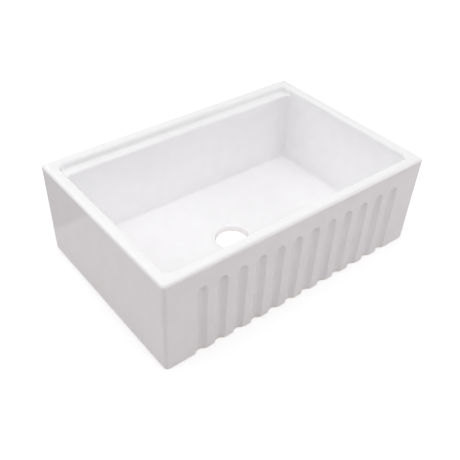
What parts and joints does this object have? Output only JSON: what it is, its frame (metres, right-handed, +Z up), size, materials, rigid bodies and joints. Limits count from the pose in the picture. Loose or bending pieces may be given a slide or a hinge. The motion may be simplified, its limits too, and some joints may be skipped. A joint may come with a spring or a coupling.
{
  "type": "apron front sink",
  "caption": "Single-bowl apron-front kitchen sink in glazed fireclay, with a fluted front, a ledge along the back of the bowl and a central waste outlet.",
  "frame": {"origin": "middle of the footprint, on the standing face", "axes": "+Z up, -Y towards the fluted apron, +X to the right of someone standing at the apron"},
  "size_m": [0.762, 0.508, 0.25],
  "materials": {
    "bare_fireclay": "matte",
    "white_glaze": "gloss"
  },
  "bodies": {
    "root": {"fireclay_body": "bare_fireclay", "glaze_coat": "white_glaze"}
  },
  "joints": []
}
